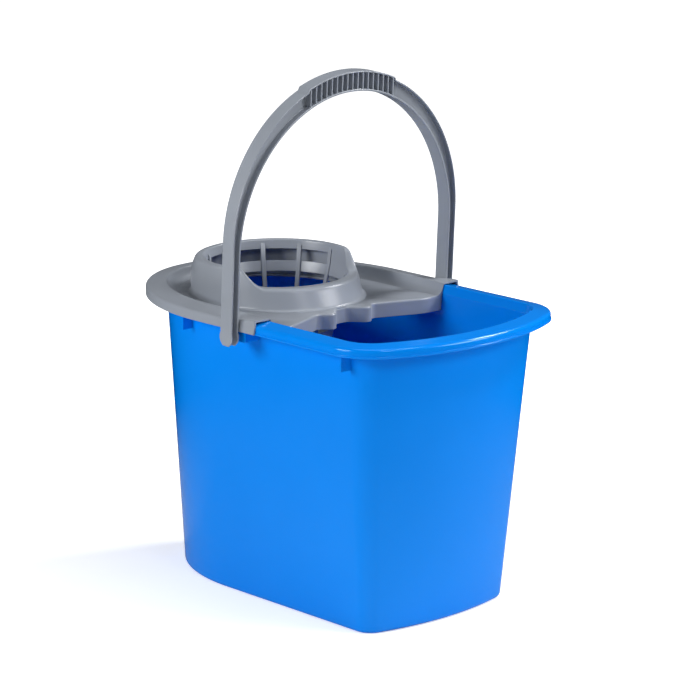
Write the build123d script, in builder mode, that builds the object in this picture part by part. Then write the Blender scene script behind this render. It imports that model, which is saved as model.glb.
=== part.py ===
from build123d import *
import os
from math import cos, radians, sin, sqrt

# Mop bucket: a tapered tub, a wringer clipped over the rear of its rim, and a swinging bail handle.
# Millimetres. +X is the open pouring end, +Z is up, and z = 0 is the floor that the tub stands on.
# The origin lies on the floor, half way along the finished bucket.

# Tub base, as the outside of the wall at the floor
base_front = 165.0
base_rear = 185.0
base_half_width = 93.5
base_corner = 20.0
base_bow_radius = 300.0
base_tail = 130.0
base_edge = 4.5

# Tub rim, as the outside of the bead on its skirt
rim_front = 217.5
rim_rear = 215.2
rim_half_width = 134.0
rim_corner = 50.0
rim_bow_radius = 240.0
rim_tail = 170.0
rim_top = 290.4

# Rim section, from the bead up over the crest and down to the throat
skirt_height = 11.4
bead_height = 2.0
bead_depth = 0.7
shoulder_height = 4.1
shoulder_inset = 2.4
shoulder_drop = 2.4
crest_inset = 17.5
crest_width = 1.5
throat_height = 9.4
rim_overhang = 19.0
rim_wall = 2.2
tub_wall = 2.4
tub_floor = 3.0

# Stacking ribs and pivot lugs under the rim
stack_rib_wall = 2.2
stack_rib_drop = 28.2
stack_rib_setback = 8.0
stack_rib_rear_x = -79.0
stack_rib_front_x = 150.0
pivot_x = 12.0
peg_radius = 3.0
peg_skirt_gap = 2.3
peg_length = 16.0
peg_clearance = 0.05
peg_end_gap = 0.5
lug_half_width = 12.5
lug_drop = 6.0
lug_chamfer = 1.5

# Wringer cover: channel over the rim, sunk plate and wavy apron
cover_wall = 2.0
cover_gap = 0.3
cover_rise = 0.6
plug_gap = 0.5
apron_height = 15.5
apron_gap = 0.8
edge_turn_y = 88.0
edge_turn_radius = 40.0
edge_dip = 19.5
edge_dip_y = 35.5
edge_dip_radius = 7.0
lobe_setback = 7.0
lobe_y = 23.0
lobe_radius = 7.0
notch_setback = 25.0
notch_gap = 3.0
notch_half_width = 7.0
notch_radius = 8.0

# Wringer hood: an oval wall on the plate that closes in to a round lip, low at the front
hood_length = 182.0
hood_half_width = 81.0
hood_height = 39.0
hood_rear_margin = 45.2
hood_wall = 2.2
hood_curl = 3.2
lip_draw_in = 4.0
lip_shift = 3.3
lip_wall = 3.0
lip_edge = 1.8
front_lip_drop = 18.0
ramp_reach = 43.0
ramp_run = 19.0

# Strainer: a ribbed cone that hangs inside the hood
strainer_wall = 2.0
lip_width = 4.4
ring_draw_in = 3.0
ring_drop = 21.4
ring_height = 10.2
upper_window_height = 12.0
lower_window_height = 39.6
cup_radius = 45.0
cup_floor = 2.5
strainer_depth = 92.6
strainer_ribs = 12
strainer_rib_width = 4.5
strainer_rib_proud = 1.5
drain_count = 8
drain_circle = 28.0
drain_length = 16.0
drain_width = 5.0

# Bail handle: an I-section arch with a ribbed grip and two eared legs
bail_lean = 3.0
ear_gap = 0.5
ear_radius = 9.1
leg_depth = 9.2
leg_width = 15.0
bail_flange = 2.2
bail_web = 2.0
bail_height = 238.5
crown_depth = 17.2
outer_rise = 150.0
inner_rise = 143.0
grip_half_angle = 21.8
grip_proud = 2.4
grip_ribs = 17
grip_rib_pitch = 6.66
grip_rib_wall = 1.6
grip_rib_setback = 0.4

# Length by which a cut passes the face that it opens
cut_lead = 1.0

# Heights and insets that several pieces share
skirt_bottom = rim_top - skirt_height
throat_z = rim_top - throat_height
throat_inset = rim_overhang + tub_wall
crest_inner = crest_inset + crest_width
throat_lean = (throat_inset - crest_inner) / throat_height
plate_top = throat_z
plate_bottom = plate_top - cover_wall
hood_rear = rim_rear - hood_rear_margin
hood_front = hood_length - hood_rear
hood_centre = (hood_front - hood_rear) / 2
hood_top = plate_top + hood_height
front_lip_top = hood_top - front_lip_drop
cover_end = hood_front + notch_gap + notch_setback
lip_x = hood_centre - lip_shift
lip_radius = hood_half_width - lip_draw_in
lip_bore_radius = lip_radius - lip_width
ring_radius = lip_bore_radius - ring_draw_in
ring_top = hood_top - ring_drop
ring_bottom = ring_top - ring_height
cup_bottom = ring_top - strainer_depth
ramp_foot_x = hood_centre + ramp_reach
pivot_z = skirt_bottom + cover_rise - peg_skirt_gap - peg_radius
lug_reach = rim_half_width - bead_depth - rim_wall / 2
leg_inner = rim_half_width + cover_gap + cover_wall + ear_gap
leg_outer = leg_inner + leg_depth
peg_tip = lug_reach - peg_length
pivot_plane = Plane(origin=(pivot_x, 0, pivot_z), x_dir=(1, 0, 0), z_dir=(0, -1, 0))
rib_angles = [index * 360 / strainer_ribs for index in range(strainer_ribs)]


def outline(front, rear, half_width, corner, bow_radius, tail, height):
    """Plan of the tub at one height: bowed front, round corners, straight sides, half oval tail."""
    bow_x = front - bow_radius
    corner_y = half_width - corner
    corner_x = bow_x + sqrt((bow_radius - corner) ** 2 - corner_y**2)
    stretch = bow_radius / (bow_radius - corner)
    touch_x = bow_x + (corner_x - bow_x) * stretch
    touch_y = corner_y * stretch
    tail_x = tail - rear
    with BuildSketch(Plane.XY.offset(height)) as level:
        with BuildLine():
            ThreePointArc((touch_x, -touch_y), (front, 0), (touch_x, touch_y))
            TangentArc((corner_x, half_width), (touch_x, touch_y), tangent=(1, 0))
            Line((corner_x, half_width), (tail_x, half_width))
            EllipticalCenterArc((tail_x, 0), tail, half_width, start_angle=90, arc_size=180)
            Line((tail_x, -half_width), (corner_x, -half_width))
            TangentArc((corner_x, -half_width), (touch_x, -touch_y), tangent=(1, 0))
        make_face()
    return level.sketch


def rim_level(inset, height):
    """Plan of the rim, moved in by inset."""
    return outline(
        rim_front - inset,
        rim_rear - inset,
        rim_half_width - inset,
        rim_corner - inset,
        rim_bow_radius - inset,
        rim_tail - inset,
        height,
    )


def base_level(inset, height):
    """Plan of the base, moved in by inset."""
    return outline(
        base_front - inset,
        base_rear - inset,
        base_half_width - inset,
        base_corner - inset,
        base_bow_radius - inset,
        base_tail - inset,
        height,
    )


def rim_skin(skirt_inset, growth, bottom):
    """Levels of the rim's outside from bottom to crest, with its top pushed out by growth."""
    slant = growth / sqrt(2)
    return [
        rim_level(skirt_inset, bottom),
        rim_level(skirt_inset, rim_top - shoulder_height),
        rim_level(shoulder_inset - slant, rim_top - shoulder_drop + slant),
        rim_level(crest_inset, rim_top + growth),
    ]


def throat_at(height, gap):
    """Plan of the rim's leaning inner face at one height, moved in by gap."""
    return rim_level(crest_inner + throat_lean * (rim_top - height) + gap, height)


def rim_fill(setback, bottom):
    """Levels of the space under the rim, from bottom up to the middle of the rim's own wall."""
    slope = shoulder_drop / (crest_inset - shoulder_inset)
    middle = rim_top - rim_wall / 2
    return [
        rim_level(setback, bottom),
        rim_level(setback, middle - slope * (crest_inset - setback)),
        rim_level(crest_inset, middle),
    ]


# Tub

with BuildPart() as stack_ribs:
    with BuildSketch(Plane.XY.offset(rim_top - stack_rib_drop)):
        with Locations((stack_rib_rear_x, 0), (stack_rib_front_x, 0)):
            Rectangle(stack_rib_wall, 2 * rim_half_width)
    extrude(amount=stack_rib_drop)
    loft(
        sections=rim_fill(stack_rib_setback, rim_top - stack_rib_drop),
        ruled=True,
        mode=Mode.INTERSECT,
    )

with BuildPart() as pivot_lugs:
    with BuildSketch(pivot_plane) as lug_face:
        with Locations((0, -lug_drop)):
            Rectangle(
                2 * lug_half_width,
                lug_drop + rim_top - pivot_z,
                align=(Align.CENTER, Align.MIN),
            )
        chamfer(lug_face.vertices().group_by(Axis.Y)[0], lug_chamfer)
    extrude(amount=rim_half_width, both=True)
    loft(
        sections=rim_fill(rim_half_width - lug_reach, pivot_z - lug_half_width),
        ruled=True,
        mode=Mode.INTERSECT,
    )

# The bottom edge is rounded over in four even turns
edge_turns = [radians(90 * index / 4) for index in range(5)]

with BuildPart() as tub:
    loft(sections=rim_skin(bead_depth, 0, skirt_bottom), ruled=True)
    extrude(rim_level(0, skirt_bottom), amount=bead_height)
    loft(
        sections=rim_skin(bead_depth + rim_wall, -rim_wall, skirt_bottom - cut_lead),
        ruled=True,
        mode=Mode.SUBTRACT,
    )
    loft(
        sections=[
            base_level(base_edge * (1 - sin(turn)), base_edge * (1 - cos(turn)))
            for turn in edge_turns
        ]
        + [
            rim_level(rim_overhang, throat_z),
            rim_level(crest_inset, rim_top - rim_wall / 2),
        ],
        ruled=True,
    )
    add(stack_ribs.part)
    add(pivot_lugs.part)
    loft(
        sections=[
            base_level(tub_wall, tub_floor),
            rim_level(throat_inset, throat_z),
            rim_level(crest_inner, rim_top),
            rim_level(crest_inner, rim_top + cut_lead),
        ],
        ruled=True,
        mode=Mode.SUBTRACT,
    )
    for side in (1, -1):
        with BuildSketch(pivot_plane.offset(side * (peg_tip - peg_end_gap))):
            Circle(peg_radius + peg_clearance)
        extrude(amount=side * (peg_length + peg_end_gap + cut_lead), mode=Mode.SUBTRACT)

# The base is held apart from the wall, at the top of the floor
floor_plane = Plane.XY.offset(tub_floor)

with BuildPart() as tub_shell:
    add(tub.part)
    split(bisect_by=floor_plane, keep=Keep.TOP)

with BuildPart() as tub_base:
    add(tub.part)
    split(bisect_by=floor_plane, keep=Keep.BOTTOM)

# Wringer cover

edge_points = [
    (cover_end, edge_turn_y),
    (cover_end - edge_dip, edge_dip_y),
    (cover_end - lobe_setback, lobe_y),
    (cover_end - notch_setback, notch_half_width),
]
edge_radii = [edge_turn_radius, edge_dip_radius, lobe_radius, notch_radius]
edge_path = (
    [(cover_end, 2 * rim_half_width)]
    + edge_points
    + [(x, -y) for x, y in reversed(edge_points)]
    + [(cover_end, -2 * rim_half_width)]
)

with BuildPart() as apron:
    with BuildSketch(Plane.XY.offset(plate_top - apron_height)):
        with BuildLine():
            FilletPolyline(edge_path, radius=edge_radii + edge_radii[::-1])
            offset(amount=cover_wall, side=Side.RIGHT)
        make_face()
    extrude(amount=apron_height)
    loft(
        sections=[
            base_level(tub_wall + apron_gap, tub_floor),
            rim_level(throat_inset + apron_gap, throat_z),
        ],
        ruled=True,
        mode=Mode.INTERSECT,
    )

with BuildPart() as wringer_cover:
    inner_wall = cover_wall * sqrt(1 + throat_lean**2)
    cover_top = rim_top + cover_gap + cover_wall
    skirt_out = cover_gap + cover_wall
    loft(sections=rim_skin(-skirt_out, skirt_out, skirt_bottom + cover_rise), ruled=True)
    loft(
        sections=rim_skin(-cover_gap, cover_gap, skirt_bottom),
        ruled=True,
        mode=Mode.SUBTRACT,
    )
    loft(
        sections=[
            rim_level(throat_inset + plug_gap, plate_bottom),
            rim_level(throat_inset + plug_gap, throat_z),
            throat_at(cover_top - cover_wall / 2, plug_gap),
        ],
        ruled=True,
    )
    loft(
        sections=[
            throat_at(plate_top, plug_gap + inner_wall),
            throat_at(cover_top + cut_lead, plug_gap + inner_wall),
        ],
        ruled=True,
        mode=Mode.SUBTRACT,
    )
    with BuildSketch(Plane.XY.offset(skirt_bottom - cut_lead)):
        with BuildLine():
            FilletPolyline(edge_path, radius=edge_radii + edge_radii[::-1])
            Polyline(
                (cover_end, -2 * rim_half_width),
                (2 * rim_front, -2 * rim_half_width),
                (2 * rim_front, 2 * rim_half_width),
                (cover_end, 2 * rim_half_width),
            )
        make_face()
    extrude(amount=cover_top - skirt_bottom + 2 * cut_lead, mode=Mode.SUBTRACT)
    add(apron.part)
    with BuildSketch(Plane.XY.offset(plate_bottom)):
        with Locations((hood_centre, 0)):
            Ellipse(hood_length / 2 - hood_wall, hood_half_width - hood_wall)
    extrude(amount=cover_wall, mode=Mode.SUBTRACT)

# Wringer hood


def hood_level(inset, share):
    """Plan of the hood at a share of its height: straight lean in front, rounded-over rear and sides."""
    lip_front = lip_x + lip_radius
    lip_rear = lip_radius - lip_x
    curl = share**hood_curl
    front = hood_front + (lip_front - hood_front) * share
    rear = hood_rear + (lip_rear - hood_rear) * curl
    half_width = hood_half_width + (lip_radius - hood_half_width) * curl
    with BuildSketch(Plane.XY.offset(plate_top + (hood_top - plate_top) * share)) as level:
        with Locations(((front - rear) / 2, 0)):
            Ellipse((front + rear) / 2 - inset, half_width - inset)
    return level.sketch


def hood_levels(inset):
    """Five levels of the hood from the plate to the lip."""
    return [hood_level(inset, index / 4) for index in range(5)]


def front_cut(drop):
    """Side view of the space over the low front lip, with an S-shaped ramp up to the high lip."""
    foot = ramp_foot_x - drop
    head = foot - ramp_run
    low = front_lip_top - drop
    high = hood_top - drop
    middle = ((foot + head) / 2, (low + high) / 2)
    above = hood_top + cut_lead
    with BuildSketch(Plane.XZ) as side_view:
        with BuildLine():
            TangentArc((foot, low), middle, tangent=(-1, 0))
            TangentArc((head, high), middle, tangent=(1, 0))
            Polyline(
                (head, high),
                (-rim_rear, high),
                (-rim_rear, above),
                (rim_front, above),
                (rim_front, low),
                (foot, low),
            )
        make_face()
    return side_view.sketch


def bore_level(growth, radius, height):
    """Round plan of the strainer at one height, grown by growth."""
    with BuildSketch(Plane.XY.offset(height)) as level:
        with Locations((hood_centre, 0)):
            Circle(radius + growth)
    return level.sketch


def band_radius(height):
    """Inner radius of the band between the strainer's ring and the lip."""
    return ring_radius + (lip_bore_radius - ring_radius) * (height - ring_top) / (hood_top - ring_top)


def cone_radius(height):
    """Inner radius of the strainer's cone below its ring."""
    return cup_radius + (ring_radius - cup_radius) * (height - cup_bottom - cup_floor) / (
        ring_top - cup_bottom - cup_floor
    )


def rib_plane(angle):
    """Upright plane through the strainer's axis, turned by angle about it."""
    turn = radians(angle)
    return Plane(
        origin=(hood_centre, 0, 0),
        x_dir=(cos(turn), sin(turn), 0),
        z_dir=(sin(turn), -cos(turn), 0),
    )


with BuildPart() as hood_gap:
    loft(sections=hood_levels(hood_wall))
    extrude(front_cut(lip_wall), amount=hood_half_width, both=True, mode=Mode.SUBTRACT)
    loft(
        sections=[
            bore_level(strainer_wall, band_radius(ring_top), ring_top),
            bore_level(strainer_wall, band_radius(hood_top), hood_top),
        ],
        mode=Mode.SUBTRACT,
    )

with BuildPart() as wringer_hood:
    loft(sections=hood_levels(0))
    extrude(front_cut(0), amount=2 * hood_half_width, both=True, mode=Mode.SUBTRACT)
    loft(
        sections=[
            bore_level(0, band_radius(plate_top), plate_top),
            bore_level(0, band_radius(hood_top), hood_top),
        ],
        mode=Mode.SUBTRACT,
    )
    lip_faces = wringer_hood.faces().filter_by(
        lambda face: face.normal_at().Z > 0 and face.geom_type in (GeomType.PLANE, GeomType.CYLINDER)
    )
    fillet(lip_faces.edges().filter_by(GeomType.LINE, reverse=True), lip_edge)
    add(hood_gap.part, mode=Mode.SUBTRACT)
    with BuildSketch(Plane.XY.offset(ring_top)):
        with Locations((hood_centre, 0)):
            Circle(lip_bore_radius + strainer_wall)
        with Locations((hood_centre + lip_radius, 0)):
            Rectangle(2 * lip_radius, 4 * lip_radius, mode=Mode.SUBTRACT)
    extrude(amount=upper_window_height, mode=Mode.SUBTRACT)
    rib_top = hood_top - lip_wall
    for angle in rib_angles:
        if hood_centre + lip_radius * cos(radians(angle)) > ramp_foot_x - ramp_run:
            continue
        with BuildSketch(rib_plane(angle)):
            with BuildLine():
                Polyline(
                    (band_radius(ring_top) - strainer_rib_proud, ring_top),
                    (band_radius(ring_top) + strainer_wall, ring_top),
                    (band_radius(rib_top) + strainer_wall, rib_top),
                    (band_radius(rib_top), rib_top),
                    (band_radius(rib_top - lip_wall) - strainer_rib_proud, rib_top - lip_wall),
                    close=True,
                )
            make_face()
        extrude(amount=strainer_rib_width / 2, both=True)

# Strainer

with BuildPart() as wringer_strainer:
    floor_z = cup_bottom + cup_floor
    with BuildSketch(rib_plane(0)):
        with BuildLine():
            Polyline(
                (0, cup_bottom),
                (cone_radius(cup_bottom) + strainer_wall, cup_bottom),
                (ring_radius + strainer_wall, ring_top),
                (ring_radius, ring_top),
                (cup_radius, floor_z),
                (0, floor_z),
                close=True,
            )
        make_face()
    revolve(axis=Axis((hood_centre, 0, 0), (0, 0, 1)))
    with BuildSketch(Plane.XY.offset(ring_bottom - lower_window_height)):
        with Locations((hood_centre, 0)):
            Circle(ring_radius + 2 * strainer_wall)
    extrude(amount=lower_window_height, mode=Mode.SUBTRACT)
    for angle in rib_angles:
        with BuildSketch(rib_plane(angle)):
            with BuildLine():
                Polyline(
                    (cup_radius - strainer_rib_proud, floor_z),
                    (cup_radius + strainer_wall, floor_z),
                    (ring_radius + strainer_wall, ring_top),
                    (ring_radius - strainer_rib_proud, ring_top),
                    close=True,
                )
            make_face()
        extrude(amount=strainer_rib_width / 2, both=True)
    with BuildSketch(Plane.XY.offset(cup_bottom)):
        with Locations((hood_centre, 0)):
            with PolarLocations(drain_circle, drain_count):
                SlotOverall(drain_length, drain_width)
    extrude(amount=cup_floor, mode=Mode.SUBTRACT)

# Bail handle

lean = radians(bail_lean)
bail_plane = Plane(
    origin=(pivot_x, 0, pivot_z),
    x_dir=(0, 1, 0),
    z_dir=(cos(lean), 0, -sin(lean)),
)
outer_centre = bail_height - outer_rise
inner_centre = bail_height - crown_depth - inner_rise


def arch(outer, inner):
    """Face between two arches on the bail's plane, each with a half width, a rise and a centre height."""
    with BuildSketch(bail_plane) as band:
        for (half_width, rise, centre), mode in ((outer, Mode.ADD), (inner, Mode.SUBTRACT)):
            with BuildLine():
                EllipticalCenterArc((0, centre), half_width, rise, start_angle=0, arc_size=180)
                Polyline((-half_width, centre), (-half_width, 0), (half_width, 0), (half_width, centre))
            make_face(mode=mode)
    return band.sketch


outer_skin = (leg_outer, outer_rise, outer_centre)
outer_under = (leg_outer - bail_flange, outer_rise - bail_flange, outer_centre)
inner_over = (leg_inner + bail_flange, inner_rise + bail_flange, inner_centre)
inner_skin = (leg_inner, inner_rise, inner_centre)

with BuildPart() as bail_handle:
    extrude(arch(outer_skin, inner_skin), amount=bail_web / 2, both=True)
    extrude(arch(outer_skin, outer_under), amount=leg_width / 2, both=True)
    extrude(arch(inner_over, inner_skin), amount=leg_width / 2, both=True)
    with BuildSketch(bail_plane):
        with BuildLine():
            start = 90 - grip_half_angle
            sweep_angle = 2 * grip_half_angle
            raised = EllipticalCenterArc(
                (0, outer_centre),
                leg_outer + grip_proud,
                outer_rise + grip_proud,
                start_angle=start,
                arc_size=sweep_angle,
            )
            buried = EllipticalCenterArc(
                (0, outer_centre),
                leg_outer - bail_flange / 2,
                outer_rise - bail_flange / 2,
                start_angle=start,
                arc_size=sweep_angle,
            )
            Line(raised @ 0, buried @ 0)
            Line(raised @ 1, buried @ 1)
        make_face()
    extrude(amount=leg_width / 2, both=True)
    with BuildSketch(bail_plane):
        for index in range(grip_ribs):
            rib_x = grip_rib_pitch * (index - (grip_ribs - 1) / 2)
            over = outer_centre + outer_rise * sqrt(1 - (rib_x / leg_outer) ** 2)
            under = inner_centre + inner_rise * sqrt(1 - (rib_x / leg_inner) ** 2)
            with Locations((rib_x, (over + under) / 2)):
                Rectangle(grip_rib_wall, over - under - bail_flange)
    extrude(amount=leg_width / 2 - grip_rib_setback, both=True)
    for side in (1, -1):
        for depth in (leg_inner, leg_outer - bail_flange):
            with BuildSketch(pivot_plane.offset(side * depth)):
                Circle(ear_radius)
            extrude(amount=side * bail_flange)
        with BuildSketch(pivot_plane.offset(side * leg_inner)):
            Circle(peg_radius)
        extrude(amount=side * (leg_depth - bail_flange / 2))

# The legs are held apart from the arch, where the inner curve begins
leg_plane = Plane(
    origin=(pivot_x + inner_centre * sin(lean), 0, pivot_z + inner_centre * cos(lean)),
    x_dir=(0, 1, 0),
    z_dir=(sin(lean), 0, cos(lean)),
)

with BuildPart() as bail_arch:
    add(bail_handle.part)
    split(bisect_by=leg_plane, keep=Keep.TOP)

with BuildPart() as bail_leg_left:
    add(bail_handle.part)
    split(bisect_by=leg_plane, keep=Keep.BOTTOM)
    split(bisect_by=Plane.XZ, keep=Keep.BOTTOM)

with BuildPart() as bail_leg_right:
    add(bail_handle.part)
    split(bisect_by=leg_plane, keep=Keep.BOTTOM)
    split(bisect_by=Plane.XZ, keep=Keep.TOP)


def peg_section(side):
    """Round end of one peg, on the inner face of the ear on that side."""
    with BuildSketch(pivot_plane.offset(-side * leg_inner)) as section:
        Circle(peg_radius)
    return section.sketch


with BuildPart() as bail_peg_left:
    extrude(peg_section(1), amount=leg_inner - peg_tip)

with BuildPart() as bail_peg_right:
    extrude(peg_section(-1), amount=peg_tip - leg_inner)

# Files

os.makedirs("parts", exist_ok=True)
pieces = {
    "tub_shell": tub_shell,
    "tub_base": tub_base,
    "wringer_cover": wringer_cover,
    "wringer_hood": wringer_hood,
    "wringer_strainer": wringer_strainer,
    "bail_arch": bail_arch,
    "bail_leg_left": bail_leg_left,
    "bail_leg_right": bail_leg_right,
    "bail_peg_left": bail_peg_left,
    "bail_peg_right": bail_peg_right,
}
for name, piece in pieces.items():
    piece.part.label = name
    export_step(piece.part, f"parts/{name}.step")
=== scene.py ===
from math import atan2, copysign, cos, pi, radians, sin, sqrt, tan

import bmesh
import bpy
from mathutils import Matrix, Vector
from mathutils.geometry import delaunay_2d_cdt


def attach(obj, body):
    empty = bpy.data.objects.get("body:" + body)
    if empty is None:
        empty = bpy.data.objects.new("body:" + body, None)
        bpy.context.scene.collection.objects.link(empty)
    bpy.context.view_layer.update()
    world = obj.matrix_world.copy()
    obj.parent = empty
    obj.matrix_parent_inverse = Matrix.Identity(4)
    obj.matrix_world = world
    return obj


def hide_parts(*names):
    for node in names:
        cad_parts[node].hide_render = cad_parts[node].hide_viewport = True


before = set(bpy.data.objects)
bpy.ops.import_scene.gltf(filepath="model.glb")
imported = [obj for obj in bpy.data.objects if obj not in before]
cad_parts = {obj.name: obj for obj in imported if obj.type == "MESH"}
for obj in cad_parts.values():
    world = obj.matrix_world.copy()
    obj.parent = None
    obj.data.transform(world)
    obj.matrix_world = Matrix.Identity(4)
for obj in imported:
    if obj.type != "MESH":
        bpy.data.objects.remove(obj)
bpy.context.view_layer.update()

# Lengths are millimetres until mesh_object turns them into metres.

# Tub shell: a tapered wall, a flat base and a rim that turns out and down to a beaded skirt. It is one
# injection moulding in bright blue polypropylene, with even walls and every corner rounded so that it
# leaves its mould.

RIM_FRONT = 217.5
RIM_REAR = 215.2
RIM_HALF_WIDTH = 134.0
RIM_CORNER = 50.0
RIM_BOW = 240.0
RIM_TAIL = 170.0
RIM_TOP = 290.4
OVERHANG = 19.0
SKIRT_FOOT = 279.0
BEAD_TOP = 281.0
BEAD_PROUD = 0.7
THROAT = 281.0
BASE_FRONT = 165.0
BASE_REAR = 185.0
BASE_HALF_WIDTH = 93.5
BASE_CORNER = 20.0
BASE_BOW = 300.0
BASE_TAIL = 130.0
BASE_INSET = 9.0
WALL_FOOT = 4.5
WALL = 2.4
FLOOR_TOP = 3.0
FLOOR_INSET = 12.0
RING_STEP = 30.0
BOW_STEPS = 16
CORNER_STEPS = 12
SIDE_STEPS = 12
TAIL_STEPS = 32
DRAG_STRETCH = 40.0
POLYPROPYLENE_IOR = 1.49


def plan(front, rear, half_width, corner, bow, tail):
    """Points round the tub, seen from above: bowed front, round corners, straight sides, half oval tail."""
    bow_x = front - bow
    corner_y = half_width - corner
    corner_x = bow_x + sqrt((bow - corner) ** 2 - corner_y**2)
    swing = atan2(corner_y, corner_x - bow_x)
    tail_x = tail - rear
    half = []
    for i in range(BOW_STEPS):
        turn = swing * i / BOW_STEPS
        half.append((bow_x + bow * cos(turn), bow * sin(turn)))
    for i in range(CORNER_STEPS):
        turn = swing + (pi / 2 - swing) * i / CORNER_STEPS
        half.append((corner_x + corner * cos(turn), corner_y + corner * sin(turn)))
    half += [(corner_x + (tail_x - corner_x) * i / SIDE_STEPS, half_width) for i in range(SIDE_STEPS)]
    for i in range(TAIL_STEPS + 1):
        turn = pi / 2 * i / TAIL_STEPS
        half.append((tail_x - tail * sin(turn), half_width * cos(turn)))
    return half + [(x, -y) for x, y in half[-2:0:-1]]


def rim_plan(inset):
    """Plan of the rim's outer edge, moved inwards by inset."""
    sizes = (RIM_FRONT, RIM_REAR, RIM_HALF_WIDTH, RIM_CORNER, RIM_BOW, RIM_TAIL)
    return plan(*[size - inset for size in sizes])


def base_plan(inset):
    """Plan of the foot of the wall, moved inwards by inset."""
    sizes = (BASE_FRONT, BASE_REAR, BASE_HALF_WIDTH, BASE_CORNER, BASE_BOW, BASE_TAIL)
    return plan(*[size - inset for size in sizes])


def blend(start, end, share):
    """Value that share of the way from start to end."""
    return start + (end - start) * share


def tub_ring(depth, z):
    """Ring round the tub at height z, depth inwards from the outside of its wall."""
    share = max(0.0, (THROAT - z) / (THROAT - WALL_FOOT))
    ring = []
    for (rim_x, rim_y), (base_x, base_y) in zip(rim_plan(OVERHANG + depth), base_plan(depth)):
        ring.append((blend(rim_x, base_x, share), blend(rim_y, base_y, share), z))
    return ring


def rounded(corners, steps=5):
    """Profile with an arc at each (u, v, radius) corner but the first and last, and a short run beside it."""
    profile = []
    for before, corner, after in zip(corners, corners[1:], corners[2:]):
        point = Vector(corner[:2])
        radius = corner[2]
        back = (Vector(before[:2]) - point).normalized()
        on = (Vector(after[:2]) - point).normalized()
        half = back.angle(on) / 2
        run = radius / tan(half)
        beside = run + 0.3 * radius
        centre = point + (back + on).normalized() * radius / sin(half)
        start = point + back * run - centre
        end = point + on * run - centre
        profile.append(point + back * beside)
        profile += [centre + start.slerp(end, i / steps) * radius for i in range(steps + 1)]
        profile.append(point + on * beside)
    return profile


def grid_faces(rows, columns, around=True, along=False):
    """Quads of a grid of points, which may close on itself around its columns and along its rows."""
    faces = []
    for row in range(rows if along else rows - 1):
        here = row * columns
        on = (row + 1) % rows * columns
        for column in range(columns if around else columns - 1):
            across = (column + 1) % columns
            faces.append([here + column, here + across, on + across, on + column])
    return faces


def tube_faces(rows, columns):
    """Quads of a tube of closed rings, with a face over each end."""
    last = (rows - 1) * columns
    return grid_faces(rows, columns) + [list(range(columns)), list(range(last, last + columns))]


def joined(rows):
    """All the points of a list of rows."""
    return [point for row in rows for point in row]


def turn_out(mesh, merge, fill):
    """Turns a mesh's normals out, after its double points are merged and its gaps filled if asked."""
    shell = bmesh.new()
    shell.from_mesh(mesh)
    if merge:
        bmesh.ops.remove_doubles(shell, verts=shell.verts, dist=1e-6)
    if fill:
        bmesh.ops.holes_fill(shell, edges=[edge for edge in shell.edges if edge.is_boundary])
    bmesh.ops.recalc_face_normals(shell, faces=shell.faces)
    shell.to_mesh(mesh)
    shell.free()


def mesh_object(name, points, faces, place=Matrix(), closed=True, merge=False, fill=False):
    """Smooth object in metres from points in millimetres, with its normals turned out where it is closed."""
    mesh = bpy.data.meshes.new(name)
    mesh.from_pydata([place @ Vector(point) / 1000 for point in points], [], faces)
    mesh.shade_smooth()
    if closed:
        turn_out(mesh, merge, fill)
    made = bpy.data.objects.new(name, mesh)
    bpy.context.scene.collection.objects.link(made)
    return made


def linear(code):
    """Linear colour of an sRGB hex code."""
    parts = [int(code[i : i + 2], 16) / 255 for i in (0, 2, 4)]
    return [p / 12.92 if p < 0.04045 else ((p + 0.055) / 1.055) ** 2.4 for p in parts] + [1.0]


def add_node(tree, kind, inputs=None, **settings):
    """Adds a node with these settings, sets or links its inputs by name or number, and gives its outputs."""
    made = tree.nodes.new(kind)
    for name, value in settings.items():
        setattr(made, name, value)
    for name, value in (inputs or {}).items():
        if isinstance(value, bpy.types.NodeSocket):
            tree.links.new(value, made.inputs[name])
        else:
            made.inputs[name].default_value = value
    return made.outputs


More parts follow.
